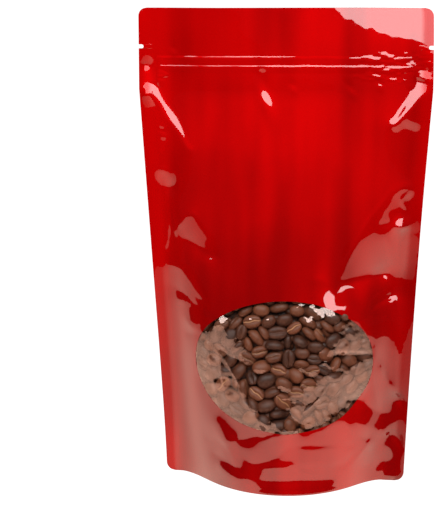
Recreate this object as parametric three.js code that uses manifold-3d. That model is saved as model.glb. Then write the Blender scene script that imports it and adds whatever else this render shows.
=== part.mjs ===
// A stand-up pouch of glossy red film, filled with roasted coffee beans that show through a clear oval
// window. It is shut by a press-to-close zip under its tear notches, and stands on an opened-out gusset.
// Millimetres, +Z up, the window faces -Y, and the origin is the middle of the base.
import * as THREE from "three";
import { LoftGeometry } from "three/addons/geometries/LoftGeometry.js";
import { mergeVertices } from "three/addons/utils/BufferGeometryUtils.js";
import Module from "manifold-3d";

const wasm = await Module();
wasm.setup();
const { clamp, degToRad, lerp, smoothstep } = THREE.MathUtils;

// Driving dimensions
const flatWidth = 178;
const height = 292;
const footWidth = 150; // the sides draw in as the base opens
const sideSeal = 8;
const footSeal = 6.5;
const footSlack = 1.5; // the hem is stretched a little over the gusset
const hemTuck = 1.2; // and turns in at the floor
const filmThickness = 0.8; // of the two films where they are sealed together
const bellyTop = 243; // from here up the sides run straight and the two films lie together
const wedge = { slope: 0.206, onset: 7, soft: 6 }; // how fast the belly may open below that
const boxiness = 1.2; // above the foot the belly's front is flatter and its sides turn in faster
const topRadius = 5;
const footRadius = 5.5;
const footTwist = 4.3; // degrees, the right foot corner stands forward of the left one
const lean = 5.5; // the mouth stands this far behind the middle of the foot,
const leanLeft = 2; // its left side further back
const leanRight = -7; // and its right side further forward
const cornerBend = { back: 12.2, side: -40, start: 239.5, sidePower: 1.05, upPower: 1.8 }; // mouth, right
const footShift = 1.5; // and this far to the left of it
const cornerForward = 4; // the right foot corner is also pulled forward

// Zip ribs, tear notches and mouth
const ribHeights = [256.3, 261.7];
const ribBreadth = 1.5;
const ribRise = 0.8;
const notchHeight = 268.7;
const notchDepth = 3;
const notchRadius = 1.2;
const mouthHalfThickness = 0.6;

// Window and contents
const windowWidth = 120; // measured along the film
const windowHeight = 81;
const windowCentre = 77;
const paneThickness = 0.8;
const pocket = { lip: 1.2, margin: 6, depth: 16 }; // the red film laps over the beans by the margin
const coreDepth = 6.5; // from the window to the bulk of the beans
const clearance = 0.4; // between pieces
const tiny = 1e-3;
const bean = { length: 11.6, width: 8.8, thickness: 5.4, groove: 1.1 };

// Folds raised or sunk in the front film: ends as [along the film, z], height, and breadth to each side.
const frontFolds = [
  { from: [-82, 242], to: [-64, 206], height: 2, breadth: 5 }, // under the zip's ends
  { from: [82, 242], to: [70, 226], height: 1.8, breadth: 5 },
  { from: [-12, 252], to: [-12, 241], height: -1.2, breadth: 5 },
  { from: [-12, 233], to: [-12, 229], height: 1.8, breadth: 5 },
  { from: [-66, 172], to: [-56, 168], height: 1.2, breadth: 7 }, // left flank
  { from: [-60, 152], to: [-43, 140], height: -1.6, breadth: 7 },
  { from: [-52, 112], to: [-50, 66], height: -2.4, breadth: 7 },
  { from: [-70, 108], to: [-66, 84], height: -1.4, breadth: 8 },
  { from: [50, 159], to: [68, 163], height: 1.8, breadth: 8 }, // right flank
  { from: [44, 130], to: [68, 134], height: -3.6, breadth: 10 },
  { from: [25, 121], to: [33, 110], height: 1.8, breadth: 6 },
  { from: [34, 90], to: [46, 90], height: -2.4, breadth: 8 },
  { from: [64, 73], to: [76, 60], height: 2.6, breadth: 7 },
  { from: [20, 50], to: [58, 49], height: -3.4, breadth: 9 }, // above the foot
  { from: [-45, 31], to: [-32, 24], height: 1.6, breadth: 6 },
  { from: [-10, 24], to: [14, 12], height: -2.2, breadth: 10 },
  { from: [82, 31], to: [75, 14], height: -2.6, breadth: 7 },
];

const halfFlat = flatWidth / 2;
const halfArc = halfFlat - sideSeal;

// Fineness of the model
const sectionSteps = 80;
const ringSteps = 20;
const ringRows = 28;
const ovalSteps = 48;

// How far the outer edge of the side seal stands from the middle at height z, before its corners are rounded
const sideLine = (z) => lerp(footWidth / 2, halfFlat, clamp(z / bellyTop, 0, 1) ** 1.2);

const roundingInset = (radius, past) => radius - Math.sqrt(Math.max(radius ** 2 - Math.max(past, 0) ** 2, 0));

function roundedSide(z) {
  const top = roundingInset(topRadius, z - (height - topRadius));
  const foot = roundingInset(footRadius, footRadius - z);
  return sideLine(z) - top - foot;
}

// One film's section between its seals at height z, as [x, depth] points from one seal to the other. The
// film keeps its flat length as the sides draw in, so its depth follows from the width. It turns up at each
// seal in a soft bend that widens towards the foot, where the crest also stands to the left.
function traceSection(z) {
  const low = 1 - smoothstep(z, 0, 60);
  const seal = lerp(sideSeal, footSeal, low);
  const bendPower = lerp(12, 4.2, low);
  const skew = 0.16 * (1 - smoothstep(z, 0, 140));
  const boxPower = 1 + boxiness * smoothstep(z, 30, 150);
  const chord = 2 * (sideLine(z) - seal);
  const step = (2 * (halfFlat + footSlack * low - seal)) / sectionSteps;
  const trace = (steepest) => {
    const points = [[0, 0]];
    for (let i = 0; i < sectionSteps; i++) {
      const a = (2 * i + 1) / sectionSteps - 1;
      const form = Math.sign(a) * Math.abs(a) ** boxPower + skew * (1 - a * a);
      const slope = -steepest * form * (1 - Math.abs(a) ** bendPower);
      const [x, depth] = points[i];
      points.push([x + step * Math.cos(slope), depth + step * Math.sin(slope)]);
    }
    return points;
  };
  let [least, most] = [0, 2.4]; // radians
  for (let halving = 0; halving < 40; halving++) {
    const middle = (least + most) / 2;
    if (trace(middle).at(-1)[0] > chord) least = middle;
    else most = middle;
  }
  const points = trace(least);
  const drift = points.at(-1)[1];
  return points.map(([x, depth], i) => [x - chord / 2, depth - (drift * i) / sectionSteps]);
}

// The smaller of two numbers, rounded off where they are nearly equal
function softMin(a, b, soft) {
  const share = clamp(0.5 + (b - a) / (2 * soft), 0, 1);
  return lerp(b, a, share) - soft * share * (1 - share);
}

// The section with the hem's tuck, and thinned to a wedge towards the top of the belly
function bellySection(z) {
  const points = traceSection(z).map(([x, depth]) => [x, Math.max(depth - hemTuck * Math.exp(-z / 5), 0)]);
  const deepest = Math.max(...points.map(([, depth]) => depth), tiny);
  const below = Math.max(bellyTop - z, 0);
  const room = (wedge.slope * below ** 2) / (below + wedge.onset);
  const allowed = Math.max(softMin(deepest, room, wedge.soft * smoothstep(below, 0, 50) + tiny), 0);
  return points.map(([x, depth]) => [x, (depth * allowed) / deepest]);
}

const sections = new Map();

function section(z) {
  if (!sections.has(z)) sections.set(z, bellySection(z));
  return sections.get(z);
}

function foldHeight(s, z) {
  let sum = 0;
  for (const fold of frontFolds) {
    const [ds, dz] = [fold.to[0] - fold.from[0], fold.to[1] - fold.from[1]];
    const along = ((s - fold.from[0]) * ds + (z - fold.from[1]) * dz) / (ds * ds + dz * dz);
    const t = clamp(along, 0, 1);
    const away = Math.hypot(s - fold.from[0] - t * ds, z - fold.from[1] - t * dz);
    sum += fold.height * Math.exp(-((away / fold.breadth) ** 2)) * (0.35 + 0.65 * Math.sin(Math.PI * t));
  }
  return sum;
}

function ribHeight(z) {
  return ribHeights.reduce((sum, rib) => sum + ribRise * Math.exp(-(((z - rib) / (ribBreadth / 2)) ** 4)), 0);
}

// A point of the front (side -1) or back (side 1) film. across runs from -1 to 1 between the side seals.
function filmPoint(across, z, side) {
  const points = section(z);
  const step = clamp((across + 1) / 2, 0, 1) * sectionSteps;
  const first = Math.min(Math.floor(step), sectionSteps - 1);
  const [x, belly] = [0, 1].map((k) => lerp(points[first][k], points[first + 1][k], step - first));
  const inside = smoothstep(1 - Math.abs(across), 0, 0.12);
  const skin = lerp(filmThickness / 2, mouthHalfThickness + ribHeight(z), inside);
  const s = across * halfArc;
  const fold = side < 0 ? foldHeight(s, z) : 0.6 * foldHeight(-s, z); // the back has shallower folds
  const belowZip = smoothstep(bellyTop + 8 - z, 0, 8);
  return bend(x, side * (skin + belly + fold * inside * belowZip), z);
}

// Both films lean back together, the mouth's right corner is bent back, and the foot is turned.
function bend(x, y, z) {
  const turn = -degToRad(footTwist) * (1 - smoothstep(z, 0, 150));
  const aside = clamp((x - cornerBend.side) / (halfFlat - cornerBend.side), 0, 1) ** cornerBend.sidePower;
  const up = clamp((z - cornerBend.start) / (height - cornerBend.start), 0, 1) ** cornerBend.upPower;
  const forward = cornerForward * smoothstep(x, 25, 75) * (1 - smoothstep(z, 0, 60));
  const point = new THREE.Vector3(x + footShift * (1 - smoothstep(z, 0, 200)), y - forward, z);
  point.applyAxisAngle(new THREE.Vector3(0, 0, 1), turn);
  const leanHere = lean + leanLeft * smoothstep(-x, 40, 85) + leanRight * smoothstep(x, 40, 85);
  point.y += leanHere * smoothstep(z, 0, 190) + cornerBend.back * aside * up;
  return point;
}

// One ring round the pouch at height z, counterclockwise from above
function ring(z) {
  const points = [];
  for (const side of [-1, 1]) {
    const edge = (end) => bend(end * roundedSide(z), (side * filmThickness) / 2, z);
    points.push(edge(side));
    for (let i = 0; i <= ringSteps; i++) points.push(filmPoint(side * (1 - (2 * i) / ringSteps), z, side));
    points.push(edge(-side));
  }
  return points;
}

function ringHeights() {
  const foot = [0, 1.2, 3];
  const belly = Array.from({ length: ringRows }, (_, i) => lerp(6, bellyTop, i / (ringRows - 1)));
  const zip = ribHeights.flatMap((rib) => [-1, -0.4, 0.4, 1].map((share) => rib + share * ribBreadth));
  const mouth = [24, 16, 9, 5, 2.2, 0.7, 0].map((down) => height - down);
  return [...foot, ...belly, ...zip, ...mouth];
}

function solid(geometry) {
  const bare = new THREE.BufferGeometry().setAttribute("position", geometry.attributes.position);
  const merged = mergeVertices(bare.setIndex(geometry.index), tiny);
  return new wasm.Manifold(
    new wasm.Mesh({
      numProp: 3,
      vertProperties: new Float32Array(merged.attributes.position.array),
      triVerts: new Uint32Array(merged.index.array),
    }),
  );
}

function geometryOf(manifold) {
  const mesh = manifold.getMesh();
  return new THREE.BufferGeometry()
    .setAttribute("position", new THREE.BufferAttribute(new Float32Array(mesh.vertProperties), 3))
    .setIndex(new THREE.BufferAttribute(new Uint32Array(mesh.triVerts), 1));
}

function pouchSkin() {
  return solid(new LoftGeometry(ringHeights().map(ring), { capStart: true, capEnd: true }));
}

// A block along Y whose outline is the window's oval, as it falls on the belly, grown by margin.
function ovalBlock(margin) {
  const outline = Array.from({ length: ovalSteps }, (_, i) => {
    const angle = (2 * Math.PI * i) / ovalSteps;
    const across = ((windowWidth / 2 + margin) / halfArc) * Math.cos(angle);
    const z = windowCentre + (windowHeight / 2 + margin) * Math.sin(angle);
    return new THREE.Vector2(filmPoint(across, z, -1).x, z);
  });
  const throughFront = { depth: footWidth, bevelEnabled: false };
  const block = new THREE.ExtrudeGeometry(new THREE.Shape(outline), throughFront);
  return solid(block.rotateX(Math.PI / 2));
}

// A channel round the underside, between the hem and the gusset's film
function hemChannel() {
  const profile = [
    [0.82, -1],
    [0.82, 0.3],
    [0.88, 2.8],
    [0.93, 0.3],
    [0.93, -1],
  ];
  const cutAt = ({ x, y }) => profile.map(([share, z]) => new THREE.Vector3(x * share, y * share, z));
  const stations = ring(0).map(cutAt);
  return solid(new LoftGeometry([...stations, stations[0]]));
}

// The gusset's fold line, along the middle of the underside
function gussetFold() {
  const [breadth, length] = [1.3, 92];
  const slit = new THREE.CylinderGeometry(breadth, breadth, length, 4).translate(0, 0, -0.3);
  return solid(slit.rotateZ(Math.PI / 2 - degToRad(footTwist)));
}

function tearNotch(end) {
  const roundCentre = halfFlat - notchDepth + notchRadius;
  const outside = halfFlat + 2;
  const slot = new THREE.Shape();
  slot.moveTo(outside, notchHeight - notchRadius);
  slot.lineTo(outside, notchHeight + notchRadius);
  slot.lineTo(roundCentre, notchHeight + notchRadius);
  slot.absarc(roundCentre, notchHeight, notchRadius, Math.PI / 2, (3 * Math.PI) / 2, false);
  const depth = 4 * lean;
  const cut = new THREE.ExtrudeGeometry(slot, { depth, bevelEnabled: false, curveSegments: 6 });
  cut.rotateX(Math.PI / 2).translate(0, depth / 2, 0);
  if (end < 0) cut.rotateZ(Math.PI);
  return solid(cut.translate(0, lean, 0));
}

// A coffee bean along X, with its grooved flat face towards +Z
function beanGeometry(size) {
  const { length, width, thickness, groove } = bean;
  const outline = [
    [1, -0.05],
    [0.5, 0.36],
    [0, 0.4],
    [-0.5, 0.36],
    [-1, -0.05],
    [0, -0.7],
  ];
  const stations = [0.05, 0.3, 0.7, 0.95];
  const rings = stations.map((share) => {
    const swell = Math.sqrt(1 - (2 * share - 1) ** 2) * 1.08;
    return outline.map(([y, z], i) => {
      const sunk = i === 2 ? groove * swell : 0;
      return new THREE.Vector3(
        (share - 0.5) * length * size,
        (y * width * swell * size) / 2,
        z * thickness * swell * size - sunk,
      );
    });
  });
  return new LoftGeometry(rings, { capStart: true, capEnd: true });
}

// Repeatable random numbers from 0 to 1
function randomSource(seed) {
  let state = seed;
  return () => {
    state = (state + 0x6d2b79f5) | 0;
    let t = Math.imul(state ^ (state >>> 15), 1 | state);
    t = (t + Math.imul(t ^ (t >>> 7), 61 | t)) ^ t;
    return ((t ^ (t >>> 14)) >>> 0) / 4294967296;
  };
}

// Where the window's film lies, and which way it faces, s along it from its centre and t up from there
function windowFrame(s, t) {
  const [across, z] = [s / halfArc, windowCentre + t];
  const point = filmPoint(across, z, -1);
  const aside = filmPoint(across + 0.04, z, -1).sub(point);
  const above = filmPoint(across, z + 3, -1).sub(point);
  const outward = aside.cross(above).normalize();
  return { point, outward };
}

// A bean behind the window, its flat face towards the film or away from it
function layBean(s, t, random) {
  const [turn, tilt, size] = [random() * Math.PI, (random() - 0.5) * 0.9, 0.92 + 0.16 * random()];
  const flatSideOut = random() > 0.45;
  const depth = paneThickness + clearance + 3.2 + 1.4 * random();
  const { point, outward } = windowFrame(s, t);
  const geometry = beanGeometry(size);
  if (!flatSideOut) geometry.rotateX(Math.PI);
  geometry.rotateX(tilt).rotateZ(turn);
  const up = new THREE.Vector3(0, 0, 1);
  geometry.applyMatrix4(new THREE.Matrix4().lookAt(outward, new THREE.Vector3(), up));
  const centre = point.addScaledVector(outward, -depth);
  return solid(geometry.translate(centre.x, centre.y, centre.z));
}

// Beans lie against the window in staggered rows, fused to the bulk behind them.
function beanHeap(space, bulk) {
  const random = randomSource(7);
  const beans = [];
  const [rowStep, columnStep] = [9.2, 11.6];
  const rows = Math.ceil(windowHeight / rowStep / 2);
  const columns = Math.ceil(windowWidth / columnStep / 2);
  for (let row = -rows; row <= rows; row++) {
    for (let column = -columns; column <= columns; column++) {
      const s = (column + (row % 2 ? 0.5 : 0)) * columnStep + 2 * (random() - 0.5);
      const t = row * rowStep + 1.6 * (random() - 0.5);
      const out = Math.hypot(s / (windowWidth / 2 + 1), t / (windowHeight / 2 + 1));
      if (out < 1) beans.push(layBean(s, t, random));
    }
  }
  const parts = wasm.Manifold.union([bulk, ...beans]).intersect(space).simplify(0.24).decompose();
  return parts.reduce((most, part) => (part.volume() > most.volume() ? part : most)); // without hollows
}

const skin = pouchSkin();
const behindSkin = (depth) => skin.translate([0, depth, 0]);
const between = (outline, front, back) => outline.intersect(behindSkin(front)).subtract(behindSkin(back));

const windowHole = between(ovalBlock(0), -1, pocket.depth - 1);
const beanPocket = between(ovalBlock(pocket.margin), pocket.lip, pocket.depth);
const beanSpace = between(
  ovalBlock(pocket.margin - clearance),
  pocket.lip + clearance,
  pocket.depth - clearance,
);
const cuts = [windowHole, beanPocket, hemChannel(), gussetFold(), tearNotch(-1), tearNotch(1)];
const pouch = cuts.reduce((body, cut) => body.subtract(cut), skin);
const pane = between(ovalBlock(-clearance), 0, paneThickness);
const beans = beanHeap(beanSpace, beanSpace.intersect(behindSkin(coreDepth)).simplify(0.5));

const film = new THREE.MeshStandardMaterial({ color: 0xb80806, roughness: 0.12, metalness: 0.25 });
const clearFilm = new THREE.MeshStandardMaterial({ color: 0xf4f4f0, roughness: 0.05, metalness: 0 });
clearFilm.transparent = true;
clearFilm.opacity = 0.2;
const roasted = new THREE.MeshStandardMaterial({ color: 0x4a2617, roughness: 0.45, metalness: 0 });

function piece(name, manifold, material) {
  const mesh = new THREE.Mesh(geometryOf(manifold), material);
  mesh.name = name;
  return mesh;
}

const group = new THREE.Group();
group.add(piece("pouch", pouch.simplify(0.06), film));
group.add(piece("window_pane", pane.simplify(0.05), clearFilm));
group.add(piece("coffee_beans", beans, roasted));

export default group;
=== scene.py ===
import math

import bpy
import numpy as np
from mathutils import Matrix, Vector


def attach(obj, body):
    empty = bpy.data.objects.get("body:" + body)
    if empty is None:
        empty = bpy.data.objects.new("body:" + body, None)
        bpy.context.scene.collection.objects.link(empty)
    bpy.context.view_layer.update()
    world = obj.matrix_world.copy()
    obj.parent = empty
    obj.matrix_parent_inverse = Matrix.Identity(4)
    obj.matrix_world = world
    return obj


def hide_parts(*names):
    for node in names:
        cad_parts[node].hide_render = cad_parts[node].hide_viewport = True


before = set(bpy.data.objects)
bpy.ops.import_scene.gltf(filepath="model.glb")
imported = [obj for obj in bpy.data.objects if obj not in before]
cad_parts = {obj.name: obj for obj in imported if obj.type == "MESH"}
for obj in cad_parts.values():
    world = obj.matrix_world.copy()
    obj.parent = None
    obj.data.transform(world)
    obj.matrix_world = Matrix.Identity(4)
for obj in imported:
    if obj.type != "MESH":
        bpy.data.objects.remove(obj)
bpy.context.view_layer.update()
mm = .001
print("frame loaded")


def newObject(name, data):
    item = bpy.data.objects.new(name, data)
    bpy.context.scene.collection.objects.link(item)
    return item


# Camera, floor and light
view = dict(place=(0, -.9865, .342), lens=110.83, pitch=11.84, yaw=-2.281)
light = dict(place=(0, -.764, .900), aim=(0, -.057, .193), width=1.6, depth=.76, radiance=9)
floorLook = dict(reach=40, under=.0002, lit=(.65, .64, 1.6), soft=.03, glow=1.85, unlit=.02, seen=1.15,
                 soaked=.3, room=.02, near=1.25, far=.75, aside=.45, tint=(1.4, .97, .77, 1))

pitch, yaw = math.radians(view["pitch"]), math.radians(view["yaw"])
forward = Vector((math.sin(yaw) * math.cos(pitch), math.cos(yaw) * math.cos(pitch), -math.sin(pitch)))
camera = newObject("camera", bpy.data.cameras.new("camera"))
camera.data.lens = view["lens"]
camera.location = view["place"]
camera.rotation_euler = forward.to_track_quat("-Z", "Y").to_euler()
bpy.context.scene.camera = camera
bpy.context.scene.view_settings.view_transform = "Standard"


def ramp(x, low, high):
    t = np.clip((x - low) / (high - low), 0, 1)
    return t * t * (3 - 2 * t)


# Nodes of a material or a geometry tree
class Value:  # one socket; arithmetic on it adds Math nodes
    def __init__(self, tree, socket):
        self.tree, self.socket = tree, socket

    def math(self, operation, *values):
        node = self.tree.nodes.new("ShaderNodeMath")
        node.operation = operation
        for socket, value in zip(node.inputs, values):
            connect(self.tree, value, socket)
        return Value(self.tree, node.outputs[0])

    def __add__(self, other):
        return self.math("ADD", self, other)

    def __sub__(self, other):
        return self.math("SUBTRACT", self, other)

    def __rsub__(self, other):
        return self.math("SUBTRACT", other, self)

    def __mul__(self, other):
        return self.math("MULTIPLY", self, other)

    __radd__ = __add__
    __rmul__ = __mul__

    def ramp(self, low, high):  # 0 below low, 1 above high, smooth between
        node = self.tree.nodes.new("ShaderNodeMapRange")
        node.interpolation_type = "SMOOTHSTEP"
        for name, value in {"Value": self, "From Min": low, "From Max": high}.items():
            connect(self.tree, value, node.inputs[name])
        return Value(self.tree, node.outputs[0])


def connect(tree, value, socket):
    if isinstance(value, Value):
        tree.links.new(value.socket, socket)
    else:
        socket.default_value = value


class Nodes:
    def __init__(self, tree, family):
        self.tree, self.family = tree, family
        tree.nodes.clear()

    def add(self, kind, settings=None, inputs=None, output=0):
        node = self.tree.nodes.new(kind if "Node" in kind else self.family + kind)
        for name, setting in (settings or {}).items():
            setattr(node, name, setting)
        for name, value in (inputs or {}).items():
            connect(self.tree, value, node.inputs[name])
        return Value(self.tree, node.outputs[output]) if node.outputs else node

    def noise(self, place, scale, detail=2, roughness=.5):
        inputs = {"Vector": place, "Scale": scale, "Detail": detail, "Roughness": roughness}
        return self.add("TexNoise", {}, inputs)

    def mix(self, factor, first, second):
        return self.add("Mix", {"data_type": "RGBA"}, {0: factor, 6: first, 7: second}, 2)


def newFinish(name):
    material = bpy.data.materials.new(name)
    material.use_nodes = True
    return material, Nodes(material.node_tree, "ShaderNode")


def newPiece(name, vertices, faces, material):
    mesh = bpy.data.meshes.new(name)
    mesh.from_pydata([tuple(v) for v in vertices], [], faces)
    mesh.materials.append(material)
    mesh.validate()
    return newObject(name, mesh)


def addLayer(piece, name, values):
    kind, field = ("FLOAT", "value") if values.ndim == 1 else ("FLOAT_VECTOR", "vector")
    layer = piece.data.attributes.new(name, kind, "POINT")
    layer.data.foreach_set(field, values.astype(np.float32).ravel())


def shadeSmooth(piece, sharpAngle=None):
    piece.data.polygons.foreach_set("use_smooth", [True] * len(piece.data.polygons))
    if sharpAngle:
        piece.data.set_sharp_from_angle(angle=math.radians(sharpAngle))


def finishPiece(piece, node):
    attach(piece, "root")
    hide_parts(node)


def makeStage():
    softbox = bpy.data.lights.new("softbox", "AREA")
    softbox.shape = "RECTANGLE"
    softbox.size, softbox.size_y = light["width"], light["depth"]
    softbox.energy = light["radiance"] * math.pi * light["width"] * light["depth"]
    lamp = newObject("softbox", softbox)
    lamp.location = light["place"]
    lamp.rotation_euler = (Vector(light["aim"]) - lamp.location).to_track_quat("-Z", "Y").to_euler()

    # the floor that the pouch mirrors is lit round it, and dark far in front, behind and to the sides
    material, n = newFinish("floor")
    place = n.add("SeparateXYZ", {}, {"Vector": n.add("TexCoord", {}, {}, 3)})
    x, y = place, Value(n.tree, place.socket.node.outputs[1])
    side, front, back = floorLook["lit"]
    soft = floorLook["soft"]
    aside = x.math("ABSOLUTE", x)
    lit = (1 - aside.ramp(side, side + soft)) * y.ramp(-front - soft, -front)
    lit = lit * (1 - y.ramp(back, back + soft))
    glow = lit * (floorLook["glow"] - floorLook["unlit"]) + floorLook["unlit"]
    seen = n.add("LightPath")
    soaked = Value(n.tree, seen.socket.node.outputs["Is Diffuse Ray"])  # light on matt surfaces
    fade = y.ramp(-front, .1) * (floorLook["near"] - floorLook["far"]) + floorLook["far"]
    fade = fade * (1 - aside.ramp(0, side) * floorLook["aside"])
    strength = glow * fade * (1 - soaked * (1 - floorLook["soaked"])) * (1 - seen) + seen * floorLook["seen"]
    colour = n.mix(seen, floorLook["tint"], (1, 1, 1, 1))  # the pouch mirrors a warm floor
    shine = n.add("Emission", {}, {"Color": colour, "Strength": strength})
    n.add("OutputMaterial", {}, {"Surface": shine})
    reach, low = floorLook["reach"], -floorLook["under"]
    corners = [(-reach, -reach, low), (reach, -reach, low), (reach, reach, low), (-reach, reach, low)]
    floor = newPiece("floor", corners, [(0, 1, 2, 3)], material)

    world = bpy.data.worlds.new("room")
    world.use_nodes = True
    n = Nodes(world.node_tree, "ShaderNode")
    seen = n.add("LightPath")
    strength = seen * floorLook["seen"] + floorLook["room"]
    back = n.add("Background", {}, {"Color": (1, 1, 1, 1), "Strength": strength})
    n.add("OutputWorld", {}, {"Surface": back})
    bpy.context.scene.world = world


makeStage()
print("stage set")


# Shape of the two films. Each keeps its flat width as the sides draw in, so its depth follows.
pouch = dict(flatWidth=.178, height=.292, footWidth=.150, sideSeal=.008, footSeal=.0065, footSlack=.0015,
             hemTuck=.0012, hemReach=.005, sealHalf=.0003, bellyTop=.243, wedge=.206, onset=.007,
             wedgeSoft=.006, boxiness=1.2, skew=.16, edge=12, footEdge=4.2, sidePower=1.2, backShare=.6,
             twist=4.3, lean=.0055, leanLeft=.002, leanRight=.007, footShift=.0015, cornerForward=.004,
             mouthHalf=.0006, slit=.006, slitShare=.2, lipShare=.35, topRadius=.005, footRadius=.0055,
             notchHeight=.2687, notchDepth=.003, notchRadius=.0012, columns=138, sealColumns=6,
             rowStep=.0012, tableRows=585, reliefStep=.0007, creaseSoft=.0005, sharpAngle=55,
             seamDepth=.00015, seamBreadth=.0006,
             waver=((.00006, .011, .016, 5), (.00002, .004, .005, 6)))  # rise, cell across, cell up, seed
corner = dict(back=.0105, side=-.040, start=.2395, sidePower=1.05, upPower=1.8)  # mouth's bent right corner
zipper = dict(lines=(.2617, .2563), rises=(.00027, .0003), upper=.0013, lower=.0042, end=.080,
              crumple=.00022, crumpleFrom=.034, low=.246, high=.2665)
window = dict(width=.119, height=.0794, centre=.0776, block=(.069, .0485), rim=.0004, undercut=.0002,
              lip=.006, pocket=.015, patchRings=9, floorRings=6, pane=.00015, paneShare=.9985)
# Underside: share of the foot's outline and height of each ring, and the fold across the middle
gusset = dict(profile=((.985, 0), (.965, .0022), (.93, .0028), (.9, .0018), (.87, .001), (.82, .0006),
                       (.76, .0006), (.7, .0007), (.62, .0009), (.54, .001), (.46, .0011), (.38, .0012),
                       (.3, .0012), (.22, .0013), (.14, .0013), (.06, .0013)),
              fold=.0016, foldHalf=.0012, middle=.0029)
halfFlat = pouch["flatWidth"] / 2
halfArc = halfFlat - pouch["sideSeal"]

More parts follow.
